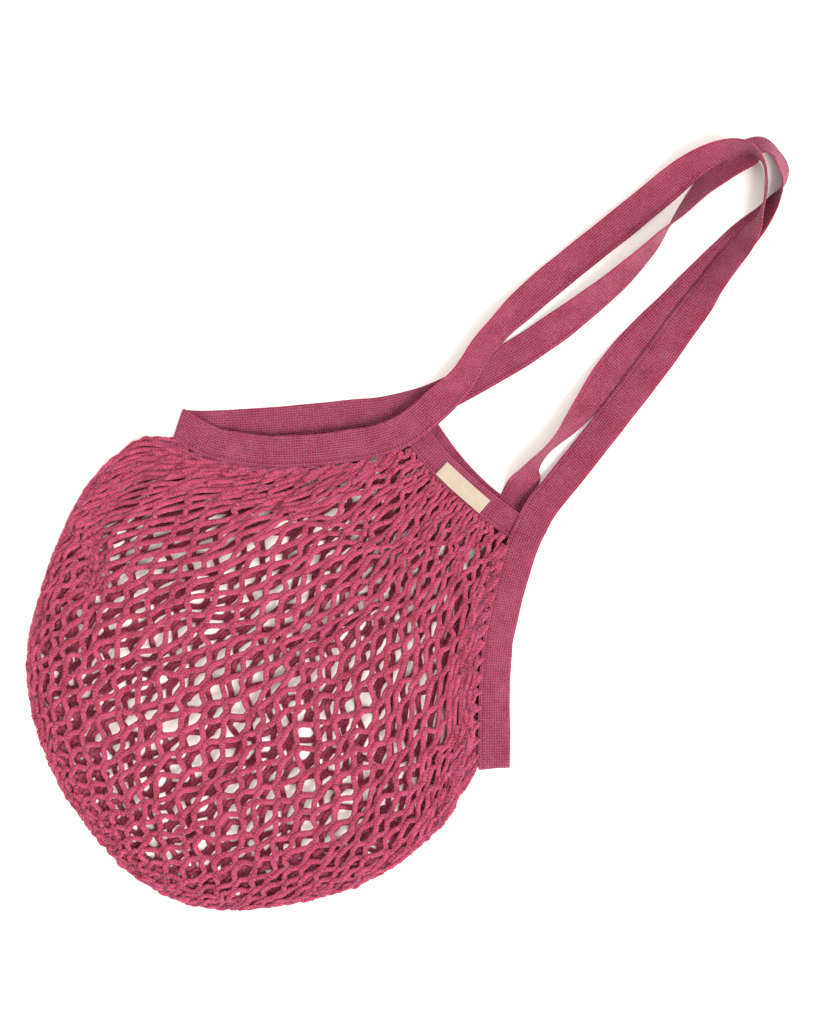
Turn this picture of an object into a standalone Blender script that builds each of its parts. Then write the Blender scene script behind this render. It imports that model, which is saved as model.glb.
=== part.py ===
"""A crochet net shopping bag lying flat, seen from above, with its two long shoulder handles to +Y.

The bag is a net pouch whose mouth is bound by two short bands and by one long tape. The tape runs round
the whole mouth and stands out of it twice as a handle, so it is one closed loop: front binding and front
handle, a flat fold at the right tip, back binding and back handle, and a flat fold at the left tip.
Tables are in millimetres and degrees. The meshes are in metres.
"""

import math
from collections import namedtuple

import bpy
import numpy as np

MM = 0.001
UP = np.array([0.0, 0.0, 1.0])

# Woven tape of the handles and bindings, and the narrower bands between them
TAPE_WIDTH = 27.0
TAPE_THICKNESS = 1.8
TAPE_STEP = 13.0
BAND_WIDTH = 22.4
LABEL_WIDTH = 14.5
LABEL_THICKNESS = 1.0
CORNER = 0.5

# Net of the body: its thickness, and the clear distance to the tape that it is sewn to
NET_THICKNESS = 2.4
SEAM_GAP = 0.75
TIP_GAP = 3.2
TIP_TRIM = 3
COLUMNS = 16
CELL_ROWS = 9
RIM_SPLITS = 3
GATHERED_ROWS = 3
GATHERED_SHARE = 0.22
ROW_EASE = 0.25
STRAND_SHARE = 0.17
JUNCTION_SHARE = 0.16
JUNCTION_WIDTH_SHARE = 0.12
PLAN_ROWS = 28
PLAN_COLUMNS = COLUMNS * RIM_SPLITS
RELAX_ROUNDS = 1500

# Height of the two layers of net above the surface, to the middle of their thickness
BACK_HEIGHT = NET_THICKNESS / 2
SEAM_HEIGHT = 3.6
FRONT_HEIGHT = 13.0
ROUND_SHARE = 0.16

# A station of a tape: the middle of its width in plan, the compass direction from its net edge to its free
# edge, how far that direction leans up from level, and the height of its lower edge above the surface
Station = namedtuple("Station", "x y across lean lift")

FRONT_LEFT_BINDING = [
    Station(-188.5, -146.0, 116, 0, 5.0),
    Station(-176.0, -143.5, 110, 0, 5.6),
    Station(-158.6, -137.5, 117, 0, 6.4),
    Station(-142.0, -126.5, 126, 0, 7.4),
    Station(-121.0, -110.0, 131, 0, 8.4),
    Station(-100.0, -88.0, 134, 0, 9.6),
    Station(-80.0, -63.5, 139, 0, 10.8),
    Station(-63.6, -40.5, 148, 0, 11.4),
    Station(-53.5, -18.5, 161, 0, 11.8),
]
FRONT_LEFT_STRAP = [
    Station(-49.0, 7.0, 173, 3, 11.4),
    Station(-48.0, 43.0, 181, 30, 6.0),
    Station(-51.0, 62.0, 187, 38, 3.6),
    Station(-55.3, 81.0, 188, 40, 2.6),
    Station(-57.0, 108.5, 181, 36, 2.0),
    Station(-56.2, 140.0, 176, 12, 1.0),
    Station(-52.3, 186.0, 174, 8, 1.0),
    Station(-47.2, 229.0, 174, 12, 1.5),
    Station(-42.7, 274.0, 174, 8, 2.5),
    Station(-38.5, 312.5, 167, 32, 5.0),
    Station(-32.9, 334.6, 156, 48, 6.5),
]
FRONT_TIP = [
    Station(-24.5, 351.0, 136, 64, 8.0),
    Station(-17.0, 358.2, 113, 78, 9.5),
    Station(-8.0, 360.0, 92, 86, 10.5),
    Station(1.5, 358.3, 74, 92, 10.0),
    Station(11.5, 352.8, 54, 97, 5.0),
    Station(20.0, 344.4, 42, 98, 2.5),
    Station(26.5, 335.0, 31, 94, 5.0),
    Station(31.2, 324.6, 24, 85, 8.0),
    Station(36.0, 313.7, 22, 68, 9.0),
]
FRONT_RIGHT_STRAP = [
    Station(39.2, 299.0, 12, 54, 7.5),
    Station(41.4, 276.0, 7, 45, 4.6),
    Station(44.6, 254.0, 8, 40, 3.2),
    Station(48.8, 230.6, 9, 20, 2.7),
    Station(58.2, 170.0, 8, 8, 2.7),
    Station(63.6, 130.0, 6, 8, 2.8),
    Station(66.6, 102.0, 6, 8, 3.2),
    Station(69.4, 81.0, 7, 8, 4.0),
    Station(72.2, 56.6, 7, 4, 6.0),
    Station(75.6, 23.0, 11, 0, 10.0),
]
FRONT_RIGHT_BINDING = [
    Station(81.5, 1.5, 18, 0, 11.6),
    Station(88.6, -16.4, 27, 0, 11.8),
    Station(101.6, -40.8, 32, -8, 8.0),
    Station(120.4, -71.4, 36, -16, 3.6),
    Station(135.9, -93.6, 41, -18, 2.6),
    Station(159.6, -120.2, 45, -17, 2.5),
    Station(181.8, -142.5, 46, -8, 3.2),
    Station(200.9, -161.3, 50, 0, 4.8),
]
RIGHT_FOLD = [Station(203.8, -164.4, 52, 0, 2.4)]
BACK_RIGHT_BINDING = [
    Station(200.9, -161.3, 50, 0, 0),
    Station(182.0, -141.5, 45, 0, 0),
    Station(159.0, -119.5, 43, 0, 0),
    Station(124.0, -79.5, 41, 0, 0),
    Station(103.5, -53.0, 38, 0, 0),
    Station(86.0, -31.0, 38, 0, 0),
    Station(69.5, -12.0, 36, 0, 0),
    Station(58.0, 6.0, 28, 0, 0),
]
BACK_RIGHT_STRAP = [
    Station(54.2, 15.0, 24, -2, 0),
    Station(50.0, 26.0, 17, -28, 0.4),
    Station(46.3, 38.0, 9, -62, 1.0),
    Station(45.0, 55.0, 2, -77, 1.0),
    Station(44.8, 71.0, 1, -72, 1.0),
    Station(44.0, 86.0, 5, -57, 1.0),
    Station(41.0, 110.0, 10, -37, 0.6),
    Station(35.6, 143.0, 7, -15, 0),
    Station(33.2, 180.0, 1, 0, 0),
    Station(33.8, 224.0, -1, 0, 0),
    Station(34.0, 260.0, -1, 0, 0),
    Station(34.4, 292.5, -2, 12, 0),
    Station(34.6, 314.6, -1, 36, 0),
    Station(33.6, 330.0, 6, 56, 0),
]
BACK_TIP = [
    Station(30.9, 344.5, 16, 72, 0),
    Station(28.8, 353.5, 20, 88, 0),
    Station(25.2, 361.6, 38, 102, 0),
    Station(16.4, 368.8, 64, 115, 0),
    Station(4.4, 372.4, 92, 112, 0),
    Station(-7.5, 369.6, 136, 126, 0),
    Station(-12.5, 357.5, 164, 150, 0),
    Station(-16.0, 342.0, 169, 146, 0),
]
BACK_LEFT_STRAP = [
    Station(-18.0, 328.0, 174, 140, 0),
    Station(-19.0, 305.0, 182, 122, 0),
    Station(-17.0, 279.5, 184, 104, 0.4),
    Station(-15.4, 254.0, 182, 76, 0.4),
    Station(-14.2, 235.0, 180, 62, 0),
    Station(-14.6, 204.7, 176, 47, 0),
    Station(-18.8, 165.6, 170, 30, 0),
    Station(-26.2, 119.0, 166, 8, 0),
    Station(-36.3, 76.0, 165, 0, 0),
    Station(-45.6, 43.0, 162, 0, 0),
]
BACK_LEFT_BINDING = [
    Station(-54.6, 18.5, 156, 0, 0),
    Station(-71.0, -10.5, 147, 0, 0),
    Station(-91.4, -36.5, 140, 0, 0),
    Station(-124.0, -76.0, 139, 0, 0),
    Station(-151.0, -107.5, 138, 0, 0),
    Station(-172.0, -130.5, 132, 0, 0),
    Station(-186.8, -144.5, 121, 0, 0),
]
LEFT_FOLD = [Station(-191.8, -147.4, 118, 0, 2.5)]

FRONT_BAND = [
    Station(-60.0, -7.0, 83, 0, 9.2),
    Station(-40.0, -10.7, 82, 0, 9.2),
    Station(-9.0, -14.2, 87, 0, 9.2),
    Station(29.0, -12.3, 95, 0, 9.2),
    Station(58.0, -8.6, 98, 0, 9.2),
    Station(80.0, -5.0, 100, 0, 9.2),
    Station(96.0, -1.6, 102, 0, 9.2),
]
BACK_BAND = [
    Station(-55.0, 1.4, 79, 0, 2.1),
    Station(-36.0, -2.8, 78, 0, 2.0),
    Station(-14.0, -6.5, 82, 0, 1.0),
    Station(8.0, -8.8, 88, 0, 0.6),
    Station(30.0, -8.6, 93, 0, 1.2),
    Station(45.0, -7.4, 96, 0, 2.1),
    Station(60.0, -5.4, 99, 0, 2.1),
    Station(74.0, -2.8, 101, 0, 2.1),
]
LABEL = [
    Station(-7.8, -16.2, 91, 0, 11.3),
    Station(17.0, -15.2, 93, 0, 11.3),
    Station(41.8, -13.5, 95, 0, 11.3),
]

# Outline of the pouch in plan, from each tip of the mouth down to where the bottom seam starts
OutlinePoint = namedtuple("OutlinePoint", "x y")
LEFT_SIDE = [
    OutlinePoint(-205.5, -178.0),
    OutlinePoint(-210.8, -200.0),
    OutlinePoint(-210.0, -226.0),
    OutlinePoint(-201.5, -261.5),
    OutlinePoint(-186.5, -300.5),
    OutlinePoint(-168.5, -336.6),
]
BOTTOM = [
    OutlinePoint(-168.5, -336.6),
    OutlinePoint(-146.0, -372.0),
    OutlinePoint(-121.0, -396.0),
    OutlinePoint(-88.0, -416.7),
    OutlinePoint(-46.3, -434.0),
    OutlinePoint(1.8, -442.0),
    OutlinePoint(46.8, -443.6),
    OutlinePoint(91.9, -432.8),
    OutlinePoint(130.0, -406.7),
    OutlinePoint(161.0, -368.8),
    OutlinePoint(185.0, -330.6),
]
RIGHT_SIDE = [
    OutlinePoint(202.6, -204.4),
    OutlinePoint(205.0, -243.4),
    OutlinePoint(200.5, -287.3),
    OutlinePoint(185.0, -330.6),
]

# Soft folds of the front layer: where each lies, its compass direction, its half length and half width,
# and how far it rises or sinks
Fold = namedtuple("Fold", "x y heading half_length half_width rise")
FRONT_FOLDS = [
    Fold(-60.0, -150.0, 70, 120, 26, 5.0),
    Fold(20.0, -210.0, 95, 130, 22, -2.5),
    Fold(95.0, -190.0, 110, 120, 24, 4.5),
    Fold(-120.0, -260.0, 55, 90, 24, -2.5),
    Fold(-20.0, -330.0, 20, 110, 26, 3.5),
    Fold(120.0, -300.0, 130, 90, 24, -2.0),
    Fold(-165.0, -230.0, 80, 70, 20, 3.5),
    Fold(150.0, -230.0, 100, 80, 20, 3.0),
]


def clear_scene():
    for existing in list(bpy.data.objects):
        bpy.data.objects.remove(existing, do_unlink=True)


def material(name, colour, roughness):
    made = bpy.data.materials.new(name)
    made.use_nodes = True
    shader = made.node_tree.nodes["Principled BSDF"]
    shader.inputs["Base Color"].default_value = (*colour, 1.0)
    shader.inputs["Roughness"].default_value = roughness
    shader.inputs["Metallic"].default_value = 0.0
    return made


def unit(vector):
    return vector / np.linalg.norm(vector)


def catmull_rom(before, start, end, after, share):
    """The point a share of the way from start to end on a curve through all four."""
    return 0.5 * (
        2 * start
        + (end - before) * share
        + (2 * before - 5 * start + 4 * end - after) * share**2
        + (3 * start - before - 3 * end + after) * share**3
    )


def across_vector(station):
    heading = math.radians(station.across)
    lean = math.radians(station.lean)
    level = math.cos(lean)
    return np.array([level * math.cos(heading), level * math.sin(heading), math.sin(lean)])


def tape_frames(stations, width, thickness, closed):
    """Centre, across and face directions along a smooth curve through the stations."""
    places = [np.array([s.x, s.y, s.lift]) for s in stations]
    acrosses = [across_vector(s) for s in stations]
    count = len(stations)

    def pick(values, index):
        return values[index % count] if closed else values[min(max(index, 0), count - 1)]

    samples = []
    for i in range(count if closed else count - 1):
        run = np.linalg.norm(pick(places, i + 1) - places[i])
        steps = max(2, math.ceil(run / TAPE_STEP))
        for step in range(steps):
            ends = [pick(places, i + k) for k in (-1, 0, 1, 2)]
            turns = [pick(acrosses, i + k) for k in (-1, 0, 1, 2)]
            place = catmull_rom(*ends, step / steps)
            across = unit(catmull_rom(*turns, step / steps))
            samples.append((raised(place, across, width, thickness), across))
    if not closed:
        samples.append((raised(places[-1], acrosses[-1], width, thickness), acrosses[-1]))
    return square_frames(samples, width, thickness, closed)


def raised(place, across, width, thickness):
    """The centre of a section whose lowest edge has the lift that the place gives as its height."""
    level = math.sqrt(max(0.0, 1 - across[2] ** 2))
    rise = abs(across[2]) * width / 2 + level * thickness / 2
    return np.array([place[0], place[1], max(0.0, place[2]) + rise])


def square_frames(samples, width, thickness, closed):
    """Makes each across direction square to the curve and adds the face direction."""
    points = [point for point, _ in samples]
    last = len(points) - 1
    frames = []
    for i, (point, across) in enumerate(samples):
        ahead = points[(i + 1) % len(points)] if closed else points[min(i + 1, last)]
        behind = points[i - 1] if closed else points[max(i - 1, 0)]
        along = unit(ahead - behind)
        across = unit(across - np.dot(across, along) * along)
        face = np.cross(along, across)
        lowest = point[2] - abs(across[2]) * width / 2 - abs(face[2]) * thickness / 2
        frames.append((point - UP * min(0.0, lowest), across, face))
    return frames


def section(width, thickness):
    """A flat strip's section with its four corners cut off, as pairs of across and face distances."""
    side, face = width / 2, thickness / 2
    cut = min(CORNER, face * 0.6)
    return [
        (-side, -face + cut), (-side + cut, -face), (side - cut, -face), (side, -face + cut),
        (side, face - cut), (side - cut, face), (-side + cut, face), (-side, face - cut),
    ]


def add_object(name, points, faces, look):
    mesh = bpy.data.meshes.new(name)
    mesh.from_pydata([tuple(float(c) * MM for c in p) for p in points], [], faces)
    mesh.validate()
    mesh.materials.append(look)
    mesh.shade_smooth()
    made = bpy.data.objects.new(name, mesh)
    bpy.context.collection.objects.link(made)
    return made


def add_tape(name, stations, width, thickness, look, closed=False):
    """Sweeps the strip's section along its stations, as a ring or with capped ends."""
    frames = tape_frames(stations, width, thickness, closed)
    ring = section(width, thickness)
    points = [
        centre + across * a + face * f for centre, across, face in frames for a, f in ring
    ]
    size = len(ring)
    faces = []
    for i in range(len(frames) if closed else len(frames) - 1):
        here, there = i * size, ((i + 1) % len(frames)) * size
        for k in range(size):
            nxt = (k + 1) % size
            faces.append((here + k, here + nxt, there + nxt, there + k))
    if not closed:
        faces.append(tuple(reversed(range(size))))
        faces.append(tuple(range(len(points) - size, len(points))))
    return add_object(name, points, faces, look)


def polyline_at(points, share):
    """The point a share of the length along a line of points."""
    points = np.asarray(points)
    reach = np.concatenate([[0.0], np.cumsum(np.linalg.norm(np.diff(points, axis=0), axis=1))])
    return np.array([np.interp(share * reach[-1], reach, points[:, k]) for k in range(points.shape[1])])


def smooth_line(points, steps=8):
    points = [np.array(p, dtype=float) for p in points]
    last = len(points) - 1
    line = []
    for i in range(last):
        corners = [points[min(max(i + k, 0), last)] for k in (-1, 0, 1, 2)]
        line += [catmull_rom(*corners, step / steps) for step in range(steps)]
    return np.array(line + [points[-1]])


def net_edge(stations, width, thickness):
    """The line just outside a tape's net edge."""
    frames = tape_frames(stations, width, thickness, False)
    return [centre - across * (width / 2 + SEAM_GAP) for centre, across, _ in frames]


def crossing(start, end, other_start, other_end):
    """How far along the first of two lines the second crosses it in plan, or None."""
    run, other = (end - start)[:2], (other_end - other_start)[:2]
    turn = run[0] * other[1] - run[1] * other[0]
    if abs(turn) < 1e-9:
        return None
    off = (other_start - start)[:2]
    share = (off[0] * other[1] - off[1] * other[0]) / turn
    other_share = (off[0] * run[1] - off[1] * run[0]) / turn
    return share if 0 <= share <= 1 and 0 <= other_share <= 1 else None


def parted(first, second):
    """The first line up to where the second crosses it in plan, and the second from there on."""
    for i in range(len(first) - 1):
        for j in range(len(second) - 1):
            share = crossing(first[i], first[i + 1], second[j], second[j + 1])
            if share is not None:
                corner = first[i] + share * (first[i + 1] - first[i])
                return first[: i + 1] + [corner], [corner] + second[j + 1 :]
    raise ValueError("the net edges of a tape and a band don't cross")


def rim_parts(left, band, right):
    """The net's edge along a tape, along a band and along the tape again, cut where they cross."""
    left_edge = net_edge(left, TAPE_WIDTH, TAPE_THICKNESS)
    band_edge = net_edge(band, BAND_WIDTH, TAPE_THICKNESS)
    right_edge = net_edge(right, TAPE_WIDTH, TAPE_THICKNESS)
    left_part, band_part = parted(left_edge, band_edge)
    band_part, right_part = parted(band_part, right_edge)
    return [left_part[TIP_TRIM:], band_part, right_part[:-TIP_TRIM]]


def front_rim_parts():
    return rim_parts(
        LEFT_FOLD + FRONT_LEFT_BINDING + FRONT_LEFT_STRAP[:2], FRONT_BAND,
        FRONT_RIGHT_STRAP[-2:] + FRONT_RIGHT_BINDING + RIGHT_FOLD,
    )


def back_rim_parts():
    return rim_parts(
        LEFT_FOLD + BACK_LEFT_BINDING[::-1] + BACK_LEFT_STRAP[:-3:-1], BACK_BAND,
        BACK_RIGHT_STRAP[1::-1] + BACK_RIGHT_BINDING[::-1] + RIGHT_FOLD,
    )


def tip_below(fold):
    """The net's corner, a little way below one of the tape's two folds."""
    reach = TAPE_WIDTH / 2 + TIP_GAP
    return np.array([fold.x, fold.y, SEAM_HEIGHT]) - reach * across_vector(fold)


def even_rim(parts):
    """One rim of evenly spaced points in each part, so that the corners between the parts are kept."""
    parts = [[tip_below(LEFT_FOLD[0])] + parts[0], parts[1], parts[2] + [tip_below(RIGHT_FOLD[0])]]
    lengths = [np.linalg.norm(np.diff(part, axis=0), axis=1).sum() for part in parts]
    counts = [round(length / sum(lengths) * COLUMNS * RIM_SPLITS) for length in lengths]
    counts[1] = COLUMNS * RIM_SPLITS - counts[0] - counts[2]
    rim = [parts[0][0]]
    for part, count in zip(parts, counts):
        rim += [polyline_at(part, n / count) for n in range(1, count + 1)]
    return np.array(rim)


def rim_at(rim, share):
    """The point a share of the way round a rim, counted in its own steps."""
    place = share * (len(rim) - 1)
    before = min(int(place), len(rim) - 2)
    return rim[before] + (place - before) * (rim[before + 1] - rim[before])


def relaxed_plan(rim):
    """A grid in plan from the rim down to the bottom seam, each inner point midway between its neighbours."""
    rows, cols = PLAN_ROWS, PLAN_COLUMNS
    left = smooth_line([rim[0][:2]] + [tuple(p) for p in LEFT_SIDE])
    right = smooth_line([rim[-1][:2]] + [tuple(p) for p in RIGHT_SIDE])
    bottom = smooth_line([tuple(p) for p in BOTTOM])
    grid = np.zeros((rows + 1, cols + 1, 2))
    shares = np.linspace(0, 1, cols + 1)
    top_line = np.array([rim_at(rim, s)[:2] for s in shares])
    bottom_line = np.array([polyline_at(bottom, s) for s in shares])
    for i in range(rows + 1):
        t = i / rows
        grid[i] = (1 - t) * top_line + t * bottom_line
        grid[i, 0] = polyline_at(left, t)
        grid[i, -1] = polyline_at(right, t)
    for _ in range(RELAX_ROUNDS):
        grid[1:-1, 1:-1] = (
            grid[:-2, 1:-1] + grid[2:, 1:-1] + grid[1:-1, :-2] + grid[1:-1, 2:]
        ) / 4
    return grid


def grid_at(grid, s, t):
    """The grid's point at two shares, blended from the four corners of its square."""
    rows, cols = grid.shape[0] - 1, grid.shape[1] - 1
    i, j = min(int(t * rows), rows - 1), min(int(s * cols), cols - 1)
    v, u = t * rows - i, s * cols - j
    upper = (1 - u) * grid[i, j] + u * grid[i, j + 1]
    lower = (1 - u) * grid[i + 1, j] + u * grid[i + 1, j + 1]
    return (1 - v) * upper + v * lower


def smoothstep(value):
    value = min(max(value, 0.0), 1.0)
    return value * value * (3 - 2 * value)


def rounded(s, t):
    """Rises from 0 at the outline to 1 inside, as a quarter of a circle."""
    inward = min(1.0, min(s, 1 - s, 1 - t) / ROUND_SHARE)
    return math.sqrt(max(0.0, 1 - (1 - inward) ** 2))


def folds_at(x, y):
    height = 0.0
    for fold in FRONT_FOLDS:
        heading = math.radians(fold.heading)
        dx, dy = x - fold.x, y - fold.y
        along = (dx * math.cos(heading) + dy * math.sin(heading)) / fold.half_length
        aside = (dy * math.cos(heading) - dx * math.sin(heading)) / fold.half_width
        height += fold.rise * math.exp(-(along**2) - aside**2)
    return height


class Pouch:
    """The middle surface of the net, addressed by columns round it and by depth below its mouth."""

    def __init__(self):
        self.front_rim = even_rim(front_rim_parts())
        self.back_rim = even_rim(back_rim_parts())
        self.front_plan = relaxed_plan(self.front_rim)
        self.back_plan = relaxed_plan(self.back_rim)

    def point(self, column, depth):
        column %= 2 * COLUMNS
        on_front = column <= COLUMNS
        s = column / COLUMNS if on_front else 2 - column / COLUMNS
        rim = self.front_rim if on_front else self.back_rim
        x, y = grid_at(self.front_plan if on_front else self.back_plan, s, depth)
        body = FRONT_HEIGHT + folds_at(x, y) if on_front else BACK_HEIGHT
        height = SEAM_HEIGHT + (body - SEAM_HEIGHT) * rounded(s, depth)
        below_rim = smoothstep(depth / GATHERED_SHARE)
        height = (1 - below_rim) * rim_at(rim, s)[2] + below_rim * height
        return np.array([x, y, max(height, BACK_HEIGHT)])


def row_depth(row):
    """Depth of a row of knots: the rows lie closer together towards the bottom."""
    q = row / (CELL_ROWS + 1)
    return GATHERED_SHARE + (1 - GATHERED_SHARE) * q * (1 + ROW_EASE * (1 - q))


class Sheet:
    """Collects the net's points, each under its own key, and its faces."""

    def __init__(self, pouch):
        self.pouch = pouch
        self.index = {}
        self.points = []
        self.faces = []

    def at(self, key, column, depth):
        if key not in self.index:
            self.index[key] = len(self.points)
            self.points.append(self.pouch.point(column, depth))
        return self.index[key]

    def knot(self, row, number):
        number %= 2 * COLUMNS
        if row == CELL_ROWS + 1:
            number = min(number, 2 * COLUMNS - number)
        return self.at(("knot", row, number), number + 0.5 * (row % 2), row_depth(row))

    def rim_point(self, level, number):
        number %= 2 * COLUMNS * RIM_SPLITS
        depth = GATHERED_SHARE * level / GATHERED_ROWS
        return self.at(("rim", level, number), number / RIM_SPLITS, depth)


def add_gathered_rows(sheet):
    """The close-drawn net under the rim, where the strands lie side by side."""
    around = 2 * COLUMNS * RIM_SPLITS
    for level in range(GATHERED_ROWS - 1):
        for n in range(around):
            sheet.faces.append((
                sheet.rim_point(level, n), sheet.rim_point(level + 1, n),
                sheet.rim_point(level + 1, n + 1), sheet.rim_point(level, n + 1),
            ))
    level = GATHERED_ROWS - 1
    for k in range(2 * COLUMNS):
        above = [sheet.rim_point(level, k * RIM_SPLITS + n) for n in range(RIM_SPLITS + 1)]
        left, right = sheet.knot(0, k), sheet.knot(0, k + 1)
        sheet.faces.append((above[0], left, above[1]))
        sheet.faces.append((above[1], left, right, above[2]))
        sheet.faces.append((above[2], right, above[3]))


def add_cell(sheet, row, k):
    """One mesh of the net: four knots round a six-sided hole."""
    left, right = sheet.knot(row, k), sheet.knot(row, k + 1)
    over = k + row % 2
    top, bottom = sheet.knot(row - 1, over), sheet.knot(row + 1, over)
    middle = k + 0.5 * (row % 2) + 0.5
    above, here, below = row_depth(row - 1), row_depth(row), row_depth(row + 1)
    tip = JUNCTION_SHARE + STRAND_SHARE
    reach = 0.5 - JUNCTION_WIDTH_SHARE
    rise, fall = here - above, below - here
    corners = [
        (0, above + tip * rise), (reach, here - JUNCTION_SHARE * rise),
        (reach, here + JUNCTION_SHARE * fall), (0, below - tip * fall),
        (-reach, here + JUNCTION_SHARE * fall), (-reach, here - JUNCTION_SHARE * rise),
    ]
    hole = [
        sheet.at(("hole", row, k, n), middle + aside, depth)
        for n, (aside, depth) in enumerate(corners)
    ]
    sheet.faces += [
        (top, hole[0], hole[1], right), (right, hole[1], hole[2]), (right, hole[2], hole[3], bottom),
        (bottom, hole[3], hole[4], left), (left, hole[4], hole[5]), (left, hole[5], hole[0], top),
    ]


def add_webs(sheet):
    """The half meshes left over along the first and the last row of knots."""
    last = CELL_ROWS
    for k in range(2 * COLUMNS):
        sheet.faces.append((sheet.knot(0, k), sheet.knot(1, k), sheet.knot(0, k + 1)))
        low = sheet.knot(last, k)
        sheet.faces.append((low, sheet.knot(last + 1, k), sheet.knot(last + 1, k + 1)))


def add_net(look):
    sheet = Sheet(Pouch())
    add_gathered_rows(sheet)
    add_webs(sheet)
    for row in range(1, CELL_ROWS + 1):
        for k in range(2 * COLUMNS):
            add_cell(sheet, row, k)
    net = add_object("net_body", sheet.points, sheet.faces, look)
    thicken = net.modifiers.new("thickness", "SOLIDIFY")
    thicken.thickness = NET_THICKNESS * MM
    thicken.offset = 0.0
    return net


def centre_in_plan(pieces):
    """Hangs the pieces on one empty, moved so that their common box is centred over the origin."""
    bpy.context.view_layer.update()
    graph = bpy.context.evaluated_depsgraph_get()
    corners = []
    for piece in pieces:
        mesh = piece.evaluated_get(graph).to_mesh()
        corners += [vertex.co.copy() for vertex in mesh.vertices]
    spans = np.array(corners)
    middle = (spans.min(axis=0) + spans.max(axis=0)) / 2
    bag = bpy.data.objects.new("bag", None)
    bpy.context.collection.objects.link(bag)
    bag.location = (-middle[0], -middle[1], 0.0)
    for piece in pieces:
        piece.parent = bag


def main():
    clear_scene()
    net_look = material("net cotton", (0.56, 0.09, 0.17), 0.9)
    tape_look = material("tape cotton", (0.48, 0.06, 0.15), 0.85)
    label_look = material("label cotton", (0.76, 0.61, 0.42), 0.8)
    loop = (
        FRONT_LEFT_BINDING + FRONT_LEFT_STRAP + FRONT_TIP + FRONT_RIGHT_STRAP + FRONT_RIGHT_BINDING
        + RIGHT_FOLD + BACK_RIGHT_BINDING + BACK_RIGHT_STRAP + BACK_TIP + BACK_LEFT_STRAP
        + BACK_LEFT_BINDING + LEFT_FOLD
    )
    centre_in_plan([
        add_net(net_look),
        add_tape("front_band", FRONT_BAND, BAND_WIDTH, TAPE_THICKNESS, tape_look),
        add_tape("back_band", BACK_BAND, BAND_WIDTH, TAPE_THICKNESS, tape_look),
        add_tape("handle_tape", loop, TAPE_WIDTH, TAPE_THICKNESS, tape_look, closed=True),
        add_tape("label", LABEL, LABEL_WIDTH, LABEL_THICKNESS, label_look),
    ])


main()
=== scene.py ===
"""The looks of the crochet net bag: its ribbed tape, the real pitch of its net, the light and the camera.

The tape and the bands follow the same stations as the part's solids, in finer steps. The net follows the
same plan and heights, with every strand of yarn in its place. Tables are in millimetres and degrees.
"""

import math
from collections import namedtuple

import bpy
import numpy as np
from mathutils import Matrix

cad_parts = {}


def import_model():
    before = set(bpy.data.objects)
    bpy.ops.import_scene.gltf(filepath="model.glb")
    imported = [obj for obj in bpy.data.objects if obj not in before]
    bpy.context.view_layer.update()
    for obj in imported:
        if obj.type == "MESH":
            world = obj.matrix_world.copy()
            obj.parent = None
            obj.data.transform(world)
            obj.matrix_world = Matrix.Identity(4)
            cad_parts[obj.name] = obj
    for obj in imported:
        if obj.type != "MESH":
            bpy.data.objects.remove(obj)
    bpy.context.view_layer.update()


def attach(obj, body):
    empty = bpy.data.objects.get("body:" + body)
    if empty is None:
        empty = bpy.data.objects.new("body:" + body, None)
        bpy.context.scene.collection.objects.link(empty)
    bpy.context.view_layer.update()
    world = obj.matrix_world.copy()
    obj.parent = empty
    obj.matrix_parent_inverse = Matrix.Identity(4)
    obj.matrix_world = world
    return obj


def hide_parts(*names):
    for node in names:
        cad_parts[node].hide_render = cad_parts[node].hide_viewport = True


MM = 0.001
UP = np.array([0.0, 0.0, 1.0])
TINY = 1e-9
SEED = 7
# The sine waves of a smooth noise are between these many times as long as its length
WAVE_RANGE = (0.6, 1.6)

# How far the part's solids are moved in plan so that their box is centred over the origin
PLAN_MOVE = np.array([-0.813, 33.252, 0.0])

# Photo: its size, the scale of its pixels, and how many pixels the plan's middle lies along its diagonal
PHOTO_WIDTH = 819
PHOTO_HEIGHT = 1024
PIXEL = 0.85
ALONG_OFFSET = 652.0
CAMERA_DISTANCE = 3200.0
CAMERA_TURN = 45.0
SENSOR = 36.0

# Woven tape of the handles and bindings, the narrower bands between them, and the label
TAPE_WIDTH = 27.0
TAPE_THICKNESS = 1.8
BAND_WIDTH = 22.4
LABEL_WIDTH = 14.5
LABEL_THICKNESS = 1.0
# Distance between the sections of a tape
TAPE_STEP = 3.0
# A section's points across half its width as shares of it, the power by which its edges are rounded off, and
# the share of the thickness squared that is left at the very edge
SECTION_SHARES = (0.15, 0.45, 0.7, 0.88, 0.95, 0.985, 1.0)
EDGE_ROUNDING = 26
EDGE_REST = 0.12
# How far a tape's edges wave, over what length, and of how many sine waves that is made
EDGE_WAVE = 0.35
EDGE_WAVE_LENGTH = 60.0
EDGE_WAVE_COUNT = 5
# The net ends this far from a tape's edge, and this far below the tape's two folds
SEAM_GAP = 0.75
TIP_GAP = 3.2

# Number of columns and rows of knots in each layer of the net
COLUMNS = 42
ROWS = 38
# Yarn: its half width, its height as a share of its width, the sides of its mesh, the steps from each knot to
# the next, and the number of pieces that the yarns are joined in
YARN_RADIUS = 2.5
YARN_FLATNESS = 0.82
YARN_SIDES = 8
STRAND_STEPS = 8
YARN_PIECES = 4
# Nothing of a yarn lies lower than this
LOWEST = 0.1
# How far the pattern of one yarn is shifted from that of the yarn beside it
YARN_LEAD = 37.0
# A knot: its half length, how far its two yarns pass over and under, how far beside its middle each one lies
# at the mouth and further down, in half widths of the yarn, and over how many rows that changes
KNOT_HALF = 1.9
KNOT_LIFT = 0.9
RIM_SPREAD = 0.9
KNOT_SPREAD = 0.66
SPREAD_ROWS = 7.0
# The first knot reaches only this far towards the tape
RIM_TRIM = 0.6
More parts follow.
